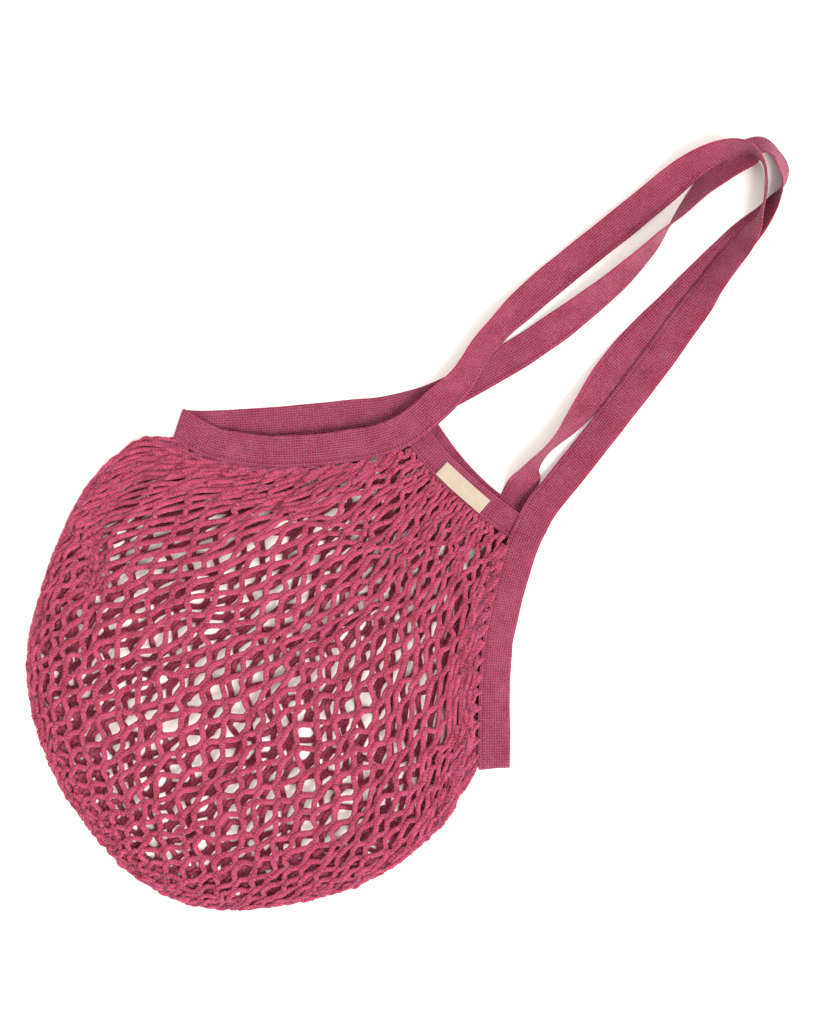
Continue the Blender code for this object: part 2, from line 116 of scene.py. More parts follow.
# A strand between knots: its length, and how strongly it keeps the knots' direction
STRAND_LENGTH = 18.8
KNOT_BEND = 0.65
# How far a slack strand curls: the share of what its slack allows, the least share of that, the most in
# millimetres, and how much of it is up or down
CURL_SHARE = 0.6
LEAST_CURL = 0.35
MOST_CURL = 3.0
CURL_LIFT = 0.45

# The open net's own lattice: the step to the next column and row, where its middle column starts, how far
# its rows sag at each side, and over how many rows the gathered mouth opens out to it
COLUMN_STEP = np.array([19.6, 3.2])
ROW_STEP = np.array([2.0, -14.6])
LATTICE_TOP = np.array([14.0, -26.0])
SAG_LEFT = 80.0
SAG_RIGHT = 125.0
GATHER_ROWS = 20.0
# Up to this share of the columns, the nearer a column is to the left tip, the sooner it opens out
LEFT_SHARE = 0.45
# The first rows are closer together: by how many rows in all, and by what share of a step at the very first
TIGHT_ROWS = 2.0
TIGHTNESS = 0.3
# The columns crowd on the band: shares of the columns, and the shares of the mouth edge that they reach
BAND_COLUMNS = (0.0, 0.37, 0.62, 1.0)
BAND_REACH = (0.0, 0.42, 0.58, 1.0)
# Number of even steps in which the mouth edge is measured
RIM_STEPS = 48
# Rows below the mouth over which the knots come to lie uneven, the net is let turn under, and it leaves the
# height of the tape
RIM_ROWS = 3.0
EDGE_ROWS = 8.0
UNDER_RIM_ROWS = 6.0
# How unevenly the knots lie, in columns or rows: each for itself, and many together in waves
UNEVEN = 0.1
SWAY = 0.11
SWAY_LENGTH = 6.0
SWAY_COUNT = 6
# Where the net is crowded, the most that knots sink and the share by which yarns are thinned, the area that
# a knot has where nothing is crowded, and the turn round the pouch's edge past which knots no longer sink
SINK = 7.0
THINNED = 0.3
OPEN_AREA = 290.0
SINK_TURN = 2.0

# How far the back layer is out of step with the front one, in columns, where it closes the front's meshes
# and where it nearly falls on them, and how fully the patches of the second kind count
CLOSED_STEP = 0.5
OPEN_STEP = 0.16
PATCH_WEIGHT = 1.1

# Middle of the pouch. Past the flat share of the way out from it, the net curves down and turns under. The
# span is the share of the way in which it turns by one radian. The front layer's yarns end once they have
# turned this many radians.
HEART = np.array([0.0, -250.0])
FLAT_SHARE = 0.71
EDGE_SPAN = 0.37
WRAP_TURN = 2.8

# Height of the back layer, the pouch's edge and the front layer above the surface, to the net's middle
BACK_HEIGHT = 1.6
EDGE_HEIGHT = 3.6
FRONT_HEIGHT = 12.6

# Weave of the tape, its stitches, the lay of the yarn and the weave of the label, in metres. The yarn has two
# plies, so its pattern comes back after half a turn.
RIB_PITCH = 0.0021
WEFT_PITCH = 0.0022
STITCH_INSET = 0.0038
STITCH_WIDTH = 0.0006
STITCH_PITCH = 0.0032
PLY_PITCH = 0.0055
PLY_TURN = 0.5
LABEL_PITCH = 0.0007
# How deep the ribs, the weft, the tape's fibres and the plies are as shares of the relief, and how dark the
# stitches are. The depths of the ribs and weft also set how much darker their grooves are painted: painted
# shade.
RIB_DEPTH = 0.75
WEFT_DEPTH = 0.6
FIBRE_DEPTH = 0.35
PLY_DEPTH = 0.3
STITCH_SHADE = 0.6
# The yarn's tone where nothing changes it, and how much paler its plies are than the groove between them:
# painted shade in the groove.
YARN_TONE = 0.4
PLY_GROOVE_SHADE = 0.35

# The look of each cloth: its colour where it is deepest and palest; how fine the noise of its paler and
# deeper stretches is, per metre, and how much it changes the tone; the depth of its relief in metres; its
# roughness and sheen; the share of light that passes through it; and the noise of its fibres, if they show
CLOTH_FIELDS = "deep pale blotches blotch_tone relief roughness sheen glow fibres fibre_tone"
Cloth = namedtuple("Cloth", CLOTH_FIELDS, defaults=[0.0, 0.0])
TAPE = Cloth(
    deep=(0.125, 0.006, 0.022, 1.0), pale=(0.258, 0.057, 0.110, 1.0),
    blotches=60.0, blotch_tone=0.9, relief=0.0006, roughness=0.85, sheen=0.08, glow=0.6,
    fibres=1000.0, fibre_tone=1.6,
)
YARN = Cloth(
    deep=(0.140, 0.004, 0.015, 1.0), pale=(0.355, 0.055, 0.115, 1.0),
    blotches=90.0, blotch_tone=1.3, relief=0.0007, roughness=0.9, sheen=0.1, glow=0.6,
    fibres=900.0, fibre_tone=2.6,
)
LABEL_COTTON = Cloth(
    deep=(0.33, 0.26, 0.20, 1.0), pale=(0.46, 0.385, 0.31, 1.0),
    blotches=120.0, blotch_tone=0.8, relief=0.0002, roughness=0.8, sheen=0.1, glow=0.0,
)
# How many finer steps each noise has
FIBRE_DETAIL = 3.0
BLOTCH_DETAIL = 4.0
LABEL_DETAIL = 3.0
# How far each colour of light goes through dyed cloth, in metres
GLOW_REACH = (0.006, 0.0007, 0.001)
# How dull the cloths are
SHEEN_ROUGHNESS = 0.5
SHINE = 0.2

# Light: an even sky and one soft sun, from the photo's lower right
SKY_STRENGTH = 1.5
SKY_COLOUR = (1.0, 1.0, 1.0, 1.0)
SUN_STRENGTH = 4.2
SUN_SOFTNESS = 30.0
SUN_ELEVATION = 56.0
SUN_HEADING = 0.0
SUN_COLOUR = (1.0, 0.97, 0.93)
FLOOR_SIZE = 12.0
FLOOR_COLOUR = (0.92, 0.86, 0.81, 1.0)

# A station of a tape: the middle of its width in plan, the compass direction from its net edge to its free
# edge, how far that direction leans up from level, and the height of its lower edge above the surface
Station = namedtuple("Station", "x y across lean lift")

FRONT_LEFT_BINDING = [
    Station(-188.5, -146.0, 116, 0, 5.0),
    Station(-176.0, -143.5, 110, 0, 5.6),
    Station(-158.6, -137.5, 117, 0, 6.4),
    Station(-142.0, -126.5, 126, 0, 7.4),
    Station(-121.0, -110.0, 131, 0, 8.4),
    Station(-100.0, -88.0, 134, 0, 9.6),
    Station(-80.0, -63.5, 139, 0, 10.8),
    Station(-63.6, -40.5, 148, 0, 11.4),
    Station(-53.5, -18.5, 161, 0, 11.8),
]
FRONT_LEFT_STRAP = [
    Station(-49.0, 7.0, 173, 3, 11.4),
    Station(-48.0, 43.0, 181, 30, 6.0),
    Station(-51.0, 62.0, 187, 38, 3.6),
    Station(-55.3, 81.0, 188, 40, 2.6),
    Station(-57.0, 108.5, 181, 36, 2.0),
    Station(-56.2, 140.0, 176, 12, 1.0),
    Station(-52.3, 186.0, 174, 8, 1.0),
    Station(-47.2, 229.0, 174, 12, 1.5),
    Station(-42.7, 274.0, 174, 8, 2.5),
    Station(-38.5, 312.5, 167, 32, 5.0),
    Station(-32.9, 334.6, 156, 48, 6.5),
]
FRONT_TIP = [
    Station(-24.5, 351.0, 136, 64, 8.0),
    Station(-17.0, 358.2, 113, 78, 9.5),
    Station(-8.0, 360.0, 92, 86, 10.5),
    Station(1.5, 358.3, 74, 92, 10.0),
    Station(11.5, 352.8, 54, 97, 5.0),
    Station(20.0, 344.4, 42, 98, 2.5),
    Station(26.5, 335.0, 31, 94, 5.0),
    Station(31.2, 324.6, 24, 85, 8.0),
    Station(36.0, 313.7, 22, 68, 9.0),
]
FRONT_RIGHT_STRAP = [
    Station(39.2, 299.0, 12, 54, 7.5),
    Station(41.4, 276.0, 7, 45, 4.6),
    Station(44.6, 254.0, 8, 40, 3.2),
    Station(48.8, 230.6, 9, 20, 2.7),
    Station(58.2, 170.0, 8, 8, 2.7),
    Station(63.6, 130.0, 6, 8, 2.8),
    Station(66.6, 102.0, 6, 8, 3.2),
    Station(69.4, 81.0, 7, 8, 4.0),
    Station(72.2, 56.6, 7, 4, 6.0),
    Station(75.6, 23.0, 11, 0, 10.0),
]
FRONT_RIGHT_BINDING = [
    Station(81.5, 1.5, 18, 0, 11.6),
    Station(88.6, -16.4, 27, 0, 11.8),
    Station(101.6, -40.8, 32, -8, 8.0),
    Station(120.4, -71.4, 36, -16, 3.6),
    Station(135.9, -93.6, 41, -18, 2.6),
    Station(159.6, -120.2, 45, -17, 2.5),
    Station(181.8, -142.5, 46, -8, 3.2),
    Station(200.9, -161.3, 50, 0, 4.8),
]
RIGHT_FOLD = [Station(203.8, -164.4, 52, 0, 2.4)]
BACK_RIGHT_BINDING = [
    Station(200.9, -161.3, 50, 0, 0),
    Station(182.0, -141.5, 45, 0, 0),
    Station(159.0, -119.5, 43, 0, 0),
    Station(124.0, -79.5, 41, 0, 0),
    Station(103.5, -53.0, 38, 0, 0),
    Station(86.0, -31.0, 38, 0, 0),
    Station(69.5, -12.0, 36, 0, 0),
    Station(58.0, 6.0, 28, 0, 0),
]
BACK_RIGHT_STRAP = [
    Station(54.2, 15.0, 24, -2, 0),
    Station(50.0, 26.0, 17, -28, 0.4),
    Station(46.3, 38.0, 9, -62, 1.0),
    Station(45.0, 55.0, 2, -77, 1.0),
    Station(44.8, 71.0, 1, -72, 1.0),
    Station(44.0, 86.0, 5, -57, 1.0),
    Station(41.0, 110.0, 10, -37, 0.6),
    Station(35.6, 143.0, 7, -15, 0),
    Station(33.2, 180.0, 1, 0, 0),
    Station(33.8, 224.0, -1, 0, 0),
    Station(34.0, 260.0, -1, 0, 0),
    Station(34.4, 292.5, -2, 12, 0),
    Station(34.6, 314.6, -1, 36, 0),
    Station(33.6, 330.0, 6, 56, 0),
]
BACK_TIP = [
    Station(30.9, 344.5, 16, 72, 0),
    Station(28.8, 353.5, 20, 88, 0),
    Station(25.2, 361.6, 38, 102, 0),
    Station(16.4, 368.8, 64, 115, 0),
    Station(4.4, 372.4, 92, 112, 0),
    Station(-7.5, 369.6, 136, 126, 0),
    Station(-12.5, 357.5, 164, 150, 0),
    Station(-16.0, 342.0, 169, 146, 0),
]
BACK_LEFT_STRAP = [
    Station(-18.0, 328.0, 174, 140, 0),
    Station(-19.0, 305.0, 182, 122, 0),
    Station(-17.0, 279.5, 184, 104, 0.4),
    Station(-15.4, 254.0, 182, 76, 0.4),
    Station(-14.2, 235.0, 180, 62, 0),
    Station(-14.6, 204.7, 176, 47, 0),
    Station(-18.8, 165.6, 170, 30, 0),
    Station(-26.2, 119.0, 166, 8, 0),
    Station(-36.3, 76.0, 165, 0, 0),
    Station(-45.6, 43.0, 162, 0, 0),
]
BACK_LEFT_BINDING = [
    Station(-54.6, 18.5, 156, 0, 0),
    Station(-71.0, -10.5, 147, 0, 0),
    Station(-91.4, -36.5, 140, 0, 0),
    Station(-124.0, -76.0, 139, 0, 0),
    Station(-151.0, -107.5, 138, 0, 0),
    Station(-172.0, -130.5, 132, 0, 0),
    Station(-186.8, -144.5, 121, 0, 0),
]
LEFT_FOLD = [Station(-191.8, -147.4, 118, 0, 2.5)]

FRONT_BAND = [
    Station(-60.0, -7.0, 83, 0, 9.2),
    Station(-40.0, -10.7, 82, 0, 9.2),
    Station(-9.0, -14.2, 87, 0, 9.2),
    Station(29.0, -12.3, 95, 0, 9.2),
    Station(58.0, -8.6, 98, 0, 9.2),
    Station(80.0, -5.0, 100, 0, 9.2),
    Station(96.0, -1.6, 102, 0, 9.2),
]
BACK_BAND = [
    Station(-55.0, 1.4, 79, 0, 2.1),
    Station(-36.0, -2.8, 78, 0, 2.0),
    Station(-14.0, -6.5, 82, 0, 1.0),
    Station(8.0, -8.8, 88, 0, 0.6),
    Station(30.0, -8.6, 93, 0, 1.2),
    Station(45.0, -7.4, 96, 0, 2.1),
    Station(60.0, -5.4, 99, 0, 2.1),
    Station(74.0, -2.8, 101, 0, 2.1),
]
LABEL = [
    Station(-7.8, -16.2, 91, 0, 11.3),
    Station(17.0, -15.2, 93, 0, 11.3),
    Station(41.8, -13.5, 95, 0, 11.3),
]

# Outline of the pouch in plan, from the left tip of the mouth round the bottom to the right tip, and the
# number of steps from each of its points to the next
LINE_STEPS = 8
OutlinePoint = namedtuple("OutlinePoint", "x y")
OUTLINE = [
    OutlinePoint(-190.0, -163.5),
    OutlinePoint(-205.5, -178.0),
    OutlinePoint(-210.8, -200.0),
    OutlinePoint(-210.0, -226.0),
    OutlinePoint(-201.5, -261.5),
    OutlinePoint(-186.5, -300.5),
    OutlinePoint(-168.5, -336.6),
    OutlinePoint(-146.0, -372.0),
    OutlinePoint(-121.0, -396.0),
    OutlinePoint(-88.0, -416.7),
    OutlinePoint(-46.3, -434.0),
    OutlinePoint(1.8, -442.0),
    OutlinePoint(46.8, -443.6),
    OutlinePoint(91.9, -432.8),
    OutlinePoint(130.0, -406.7),
    OutlinePoint(161.0, -368.8),
    OutlinePoint(185.0, -330.6),
    OutlinePoint(200.5, -287.3),
    OutlinePoint(205.0, -243.4),
    OutlinePoint(202.6, -204.4),
    OutlinePoint(196.0, -177.0),
]
# Places far past the mouth, where the net isn't drawn in
OPEN_SIDE = [
    OutlinePoint(236.0, -130.0),
    OutlinePoint(330.0, 40.0),
    OutlinePoint(0.0, 300.0),
    OutlinePoint(-330.0, 40.0),
    OutlinePoint(-236.0, -120.0),
]

# Patches where the back layer's strands nearly fall on the front's, so that the surface shows through.
# Elsewhere they lie across the front's meshes.
Patch = namedtuple("Patch", "x y heading half_length half_width")
OPEN_PATCHES = [
    Patch(-127.0, -258.0, 20, 30, 22),
    Patch(-49.0, -355.0, 10, 50, 20),
    Patch(0.0, -272.0, 52, 75, 26),
    Patch(66.0, -140.0, 135, 50, 16),
    Patch(100.0, -292.0, 40, 45, 16),
    Patch(-96.0, -150.0, 70, 60, 9),
]

# Folds of the front layer: where each lies, its compass direction, its half length and half width, how far
# it rises or sinks, and the share by which it draws the net together from both sides
Fold = namedtuple("Fold", "x y heading half_length half_width rise draw")
FRONT_FOLDS = [
    Fold(-60.0, -150.0, 70, 120, 26, 5.0, 0),
    Fold(20.0, -210.0, 95, 130, 22, -2.5, 0),
    Fold(95.0, -190.0, 110, 120, 24, 4.5, 0),
    Fold(-120.0, -260.0, 55, 90, 24, -2.5, 0),
    Fold(-20.0, -330.0, 20, 110, 26, 3.5, 0),
    Fold(120.0, -300.0, 130, 90, 24, -2.0, 0),
    Fold(-165.0, -230.0, 80, 70, 20, 3.5, 0),
    Fold(150.0, -230.0, 100, 80, 20, 3.0, 0),
    Fold(-184.0, -214.0, 98, 48, 9, -13.0, 0.45),
    Fold(-154.0, -284.0, 130, 48, 9, -13.0, 0.45),
    Fold(-52.0, -123.0, 26, 115, 24, 2.0, 0.5),
    Fold(26.0, -165.0, 62, 60, 18, -2.0, 0.45),
    Fold(-67.0, -306.0, 62, 50, 16, -2.0, 0.4),
    Fold(150.0, -262.0, 105, 70, 16, -4.0, 0.45),
    Fold(60.0, -335.0, 25, 60, 16, -2.0, 0.35),
]


def unit(vectors):
    """Each row of an array of vectors, or one vector, made one long."""
    vectors = np.asarray(vectors, dtype=float)
    return vectors / np.maximum(np.linalg.norm(vectors, axis=-1, keepdims=True), TINY)


def smoothstep(values):
    """0 up to 0, 1 from 1 on, and a soft rise between."""
    values = np.clip(values, 0.0, 1.0)
    return values * values * (3 - 2 * values)


def waves(places, length, count, generator):
    """Smooth noise about 0 along places, as a sum of sine waves about as long as length."""
    total = np.zeros(len(places))
    for _ in range(count):
        wave_length = length * generator.uniform(*WAVE_RANGE)
        heading = generator.uniform(0, 2 * math.pi)
        direction = np.array([math.cos(heading), math.sin(heading)])
        reach = places @ direction if places.ndim == 2 else places
        start = generator.uniform(0, 2 * math.pi)
        total += np.sin(2 * math.pi * reach / wave_length + start)
    return total / math.sqrt(count)


# Meshes


def add_mesh(name, points, quads, uvs, look, ends):
    """A smooth piece from points in millimetres, four-sided faces with their UVs, and end faces."""
    mesh = bpy.data.meshes.new(name)
    faces = [tuple(face) for face in quads.tolist()] + [tuple(face) for face in ends]
    mesh.from_pydata((np.asarray(points) * MM).tolist(), [], faces)
    layer = mesh.uv_layers.new(name="strand")
    corners = np.zeros((len(mesh.loops), 2), dtype=np.float32)
    corners[: 4 * len(quads)] = uvs.reshape(-1, 2)
    layer.data.foreach_set("uv", corners.ravel())
    mesh.shade_smooth()
    mesh.materials.append(look)
    piece = bpy.data.objects.new(name, mesh)
    bpy.context.collection.objects.link(piece)
    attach(piece, "root")
    return piece


# Tapes


def catmull_rom(before, start, end, after, share):
    """The point a share of the way from start to end on a curve through all four."""
    return 0.5 * (
        2 * start
        + (end - before) * share
        + (2 * before - 5 * start + 4 * end - after) * share**2
        + (3 * start - before - 3 * end + after) * share**3
    )


def across_vector(station):
    """The direction from a tape's net edge to its free edge."""
    heading = math.radians(station.across)
    lean = math.radians(station.lean)
    level = math.cos(lean)
    return np.array([level * math.cos(heading), level * math.sin(heading), math.sin(lean)])


def raised(place, across, width, thickness):
    """The centre of a section whose lowest edge has the lift that the place gives as its height."""
    level = math.sqrt(max(0.0, 1 - across[2] ** 2))
    rise = abs(across[2]) * width / 2 + level * thickness / 2
    return np.array([place[0], place[1], max(0.0, place[2]) + rise])


def tape_frames(stations, width, thickness, closed):
    """Centre, across and face directions along a curve through stations."""
    places = [np.array([s.x, s.y, s.lift]) for s in stations]
    acrosses = [across_vector(s) for s in stations]
    count = len(stations)

    def pick(values, index):
        return values[index % count] if closed else values[min(max(index, 0), count - 1)]

    samples = []
    for i in range(count if closed else count - 1):
        run = np.linalg.norm(pick(places, i + 1) - places[i])
        steps = max(2, math.ceil(run / TAPE_STEP))
        for step in range(steps):
            ends = [pick(places, i + k) for k in (-1, 0, 1, 2)]
            turns = [pick(acrosses, i + k) for k in (-1, 0, 1, 2)]
            place = catmull_rom(*ends, step / steps)
            across = unit(catmull_rom(*turns, step / steps))
            samples.append((raised(place, across, width, thickness), across))
    if not closed:
        samples.append((raised(places[-1], acrosses[-1], width, thickness), acrosses[-1]))
    return square_frames(samples, width, thickness, closed)


def square_frames(samples, width, thickness, closed):
    """Makes each across direction square to the curve and adds the face direction."""
    points = [sample[0] for sample in samples]
    last = len(points) - 1
    frames = []
    for i, (point, across) in enumerate(samples):
        ahead = points[(i + 1) % len(points)] if closed else points[min(i + 1, last)]
        behind = points[i - 1] if closed else points[max(i - 1, 0)]
        along = unit(ahead - behind)
        across = unit(across - np.dot(across, along) * along)
        face = np.cross(along, across)
        lowest = point[2] - abs(across[2]) * width / 2 - abs(face[2]) * thickness / 2
        frames.append((point - UP * min(0.0, lowest), across, face))
    return frames


def soft_section(width, thickness):
    """A strip's section with rounded edges: how far its points lie across the strip and out of it."""
    one_side = np.array(SECTION_SHARES)
    shares = np.concatenate([-one_side[::-1], one_side])
    half = thickness / 2 * np.sqrt(np.clip(1 - np.abs(shares) ** EDGE_ROUNDING, EDGE_REST, 1))
    across = np.concatenate([shares, shares[::-1]]) * width / 2
    return across, np.concatenate([-half, half[::-1]])


def tape_points(frames, along, width, thickness):
    """The points of each section of a tape whose edges wave a little."""
    centres, acrosses, faces = (np.array(values) for values in zip(*frames))
    generator = np.random.default_rng(SEED)
    left, right = (
        1 + EDGE_WAVE / width * waves(along, EDGE_WAVE_LENGTH, EDGE_WAVE_COUNT, generator)
        for _ in range(2)
    )
    aside, deep = soft_section(width, thickness)
    stretch = np.where(aside[None, :] < 0, left[:, None], right[:, None])
    return (
        centres[:, None, :]
        + acrosses[:, None, :] * (aside[None, :] * stretch)[:, :, None]
        + faces[:, None, :] * deep[None, :, None]
    )


def tape_faces(count, rings, size):
    """Four-sided faces from each section to the next, round and round if the tape is closed."""
    here = np.arange(rings)[:, None] * size
    there = (np.arange(rings)[:, None] + 1) % count * size
    k = np.arange(size)[None, :]
    nxt = (k + 1) % size
    return np.stack([here + k, here + nxt, there + nxt, there + k], axis=-1).reshape(-1, 4)


def tape_uvs(rings, along, width, thickness):
    """The corners of each face in metres: how far from the net edge, and how far along the tape."""
    from_edge = (soft_section(width, thickness)[0] + width / 2) * MM
    shape = (rings, len(from_edge))
    u = np.broadcast_to(from_edge[None, :], shape)
    u_next = np.broadcast_to(np.roll(from_edge, -1)[None, :], shape)
    v = np.broadcast_to(along[:rings, None] * MM, shape)
    v_next = np.broadcast_to(along[1 : rings + 1, None] * MM, shape)
    return np.stack([u, v, u_next, v, u_next, v_next, u, v_next], axis=-1).reshape(-1, 2)


def add_tape(name, stations, width, thickness, look, closed=False):
    """Sweeps the soft section along the stations and returns the piece and the tape's length in metres."""
    frames = tape_frames(stations, width, thickness, closed)
    centres = np.array([frame[0] for frame in frames])
    gone = np.linalg.norm(np.diff(centres, axis=0, append=centres[:1]), axis=1)
    along = np.concatenate([[0.0], np.cumsum(gone)])
    points = tape_points(frames, along[:-1], width, thickness)
    count, size = points.shape[:2]
    rings = count if closed else count - 1
    ends = []
    if not closed:
        ends = [tuple(reversed(range(size))), tuple(range(rings * size, count * size))]
    quads = tape_faces(count, rings, size)
    uvs = tape_uvs(rings, along, width, thickness)
    piece = add_mesh(name, points.reshape(-1, 3) + PLAN_MOVE, quads, uvs, look, ends)
    return piece, along[rings] * MM


# Plan of the net


def polyline_at(points, share):
    """The point a share of the length along a line of points."""
    points = np.asarray(points)
    reach = np.concatenate([[0.0], np.cumsum(np.linalg.norm(np.diff(points, axis=0), axis=1))])
    return np.array([np.interp(share * reach[-1], reach, points[:, k]) for k in range(points.shape[1])])


def smooth_line(points):
    """A smooth line through the points, in short steps."""
    points = [np.array(p, dtype=float) for p in points]
    last = len(points) - 1
    line = []
    for i in range(last):
        corners = [points[min(max(i + k, 0), last)] for k in (-1, 0, 1, 2)]
        line += [catmull_rom(*corners, step / LINE_STEPS) for step in range(LINE_STEPS)]
    return np.array(line + [points[-1]])


def net_edge(stations, width):
    """The line just outside a tape's net edge."""
    frames = tape_frames(stations, width, TAPE_THICKNESS, False)
    return [centre - across * (width / 2 + SEAM_GAP) for centre, across, _ in frames]


def crossing(start, end, other_start, other_end):
    """How far along the first of two lines the second crosses it in plan, or None."""
    run, other = (end - start)[:2], (other_end - other_start)[:2]
    turn = run[0] * other[1] - run[1] * other[0]
    if abs(turn) < TINY:
        return None
    off = (other_start - start)[:2]
    share = (off[0] * other[1] - off[1] * other[0]) / turn
    other_share = (off[0] * run[1] - off[1] * run[0]) / turn
    return share if 0 <= share <= 1 and 0 <= other_share <= 1 else None


def parted(first, second):
    """The first line up to where the second crosses it in plan, and the second from there on."""
    for i in range(len(first) - 1):
        for j in range(len(second) - 1):
            share = crossing(first[i], first[i + 1], second[j], second[j + 1])
            if share is not None:
                corner = first[i] + share * (first[i + 1] - first[i])
                return first[: i + 1] + [corner], [corner] + second[j + 1 :]
    raise ValueError("the net edges of a tape and a band don't cross")


def rim_line(left, band, right):
    """The net's top edge in even steps, from tip to tip along a tape, a band and a tape."""
    left_part, band_part = parted(net_edge(left, TAPE_WIDTH), net_edge(band, BAND_WIDTH))
    band_part, right_part = parted(band_part, net_edge(right, TAPE_WIDTH))
    trim = round(TAPE_WIDTH / TAPE_STEP)
    line = [tip_below(LEFT_FOLD[0])] + left_part[trim:] + band_part + right_part[:-trim]
    line.append(tip_below(RIGHT_FOLD[0]))
    return np.array([polyline_at(line, n / RIM_STEPS) for n in range(RIM_STEPS + 1)])


def tip_below(fold):
    """The net's corner, a little way below one of the tape's two folds."""
    reach = TAPE_WIDTH / 2 + TIP_GAP
    return np.array([fold.x, fold.y, EDGE_HEIGHT]) - reach * across_vector(fold)


def off_line(plan, patch):
    """How far places lie beside the middle line of a long patch, and the direction square to that line."""
    heading = math.radians(patch.heading)
    square = np.array([-math.sin(heading), math.cos(heading)])
    return (plan - np.array([patch.x, patch.y])) @ square, square


def ridge(plan, patch):
    """1 along the middle of a long patch, fading to 0 past its half length and half width."""
    aside, square = off_line(plan, patch)
    along = (plan - np.array([patch.x, patch.y])) @ np.array([square[1], -square[0]])
    return np.exp(-((along / patch.half_length) ** 2) - (aside / patch.half_width) ** 2)


def folds_at(plan):
    """How far the folds raise the front layer."""
    return sum(fold.rise * ridge(plan, fold) for fold in FRONT_FOLDS)


def drawn_together(plan):
    """The plan with the net drawn in from both sides towards the middle of each fold that does so."""
    moved = plan.copy()
    for fold in FRONT_FOLDS:
        aside, square = off_line(plan, fold)
        moved -= np.outer(fold.draw * ridge(plan, fold) * aside, square)
    return moved


def open_at(plan):
    """1 where the surface shows through the net, and 0 where the back layer closes it."""
    return np.minimum(1.0, PATCH_WEIGHT * sum(ridge(plan, patch) for patch in OPEN_PATCHES))


class Layer:
    """The front or the back of the pouch, addressed by columns across the mouth and rows below it."""

    def __init__(self, left, band, right, front):
        self.front = front
        self.rim = rim_line(left, band, right)
        line = np.concatenate([smooth_line(OUTLINE), np.array(OPEN_SIDE)]) - HEART
        self.bearings = np.arctan2(line[:, 1], line[:, 0])
        self.reaches = np.linalg.norm(line, axis=1)

    def rim_at(self, columns):
        """Where the columns start on the mouth edge."""
        places = np.interp(columns / COLUMNS, BAND_COLUMNS, BAND_REACH) * RIM_STEPS
        numbers = np.arange(RIM_STEPS + 1)
        return np.column_stack([np.interp(places, numbers, self.rim[:, axis]) for axis in range(3)])

    def unfolded(self, columns, rows):
        """The plan of the net if it ran on past the pouch's edge, gathered at its mouth and even below it."""
        share = columns / COLUMNS
        gone = np.clip(rows / GATHER_ROWS, 0, 1)
        at_left = np.clip(1 - share / LEFT_SHARE, 0, 1)
        opened = at_left * gone * (2 - gone) + (1 - at_left) * smoothstep(gone)
        top = LATTICE_TOP + np.outer(columns - COLUMNS / 2, COLUMN_STEP)
        top[:, 1] -= np.where(share < 0.5, SAG_LEFT, SAG_RIGHT) * (2 * share - 1) ** 2
        rim = self.rim_at(columns)[:, :2]
        gone_down = rows - TIGHT_ROWS * (1 - np.exp(-rows * TIGHTNESS / TIGHT_ROWS))
        return (1 - opened)[:, None] * rim + opened[:, None] * top + np.outer(gone_down, ROW_STEP)

    def points(self, columns, rows):
        """Places in millimetres, and how far each has turned round the pouch's edge, in radians."""
        plan = self.unfolded(columns, rows)
        if not self.front:
            step = CLOSED_STEP + (OPEN_STEP - CLOSED_STEP) * open_at(plan)
            plan = self.unfolded(columns + step, rows)
        off = plan - HEART
        bearing = np.arctan2(off[:, 1], off[:, 0])
        reach = np.interp(bearing, self.bearings, self.reaches, period=2 * math.pi)
        share = np.maximum(np.linalg.norm(off, axis=1), 1.0) / reach
        beyond = np.maximum(0.0, share - FLAT_SHARE) / EDGE_SPAN
        turn = np.minimum(beyond, WRAP_TURN if self.front else math.pi / 2)
        folded = np.minimum(share, FLAT_SHARE) + (1 - FLAT_SHARE) * np.sin(turn)
        drawn = smoothstep(rows / EDGE_ROWS)
        drawn_in = (1 - drawn) * np.minimum(share, 1.0) + drawn * folded
        plan = HEART + off * (drawn_in / share)[:, None]
        if self.front:
            free = smoothstep(rows / UNDER_RIM_ROWS)[:, None]
            plan = (1 - free) * plan + free * drawn_together(plan)
        return np.column_stack([plan, self.heights(plan, columns, rows, turn)]), beyond

    def heights(self, plan, columns, rows, turn):
        """Heights from that of the tape at the mouth to the layer's own, down to the pouch's edge."""
        body = FRONT_HEIGHT + folds_at(plan) if self.front else BACK_HEIGHT
        height = EDGE_HEIGHT + (body - EDGE_HEIGHT) * np.cos(turn)
        below_rim = smoothstep(rows / UNDER_RIM_ROWS)
        height = (1 - below_rim) * self.rim_at(columns)[:, 2] + below_rim * height
        return np.maximum(height, BACK_HEIGHT)


# Yarn of the net


# The knots of a layer: their places, the net's directions down, across and outward there, how far each has
# turned round the pouch's edge, and the yarn's radius
Knots = namedtuple("Knots", "places down across face beyond radius")


def uneven(numbers, generator):
    """How far each knot is off its place, in columns or rows."""
    together = SWAY * waves(numbers, SWAY_LENGTH, SWAY_COUNT, generator)
    return together + generator.normal(0, UNEVEN, len(numbers))


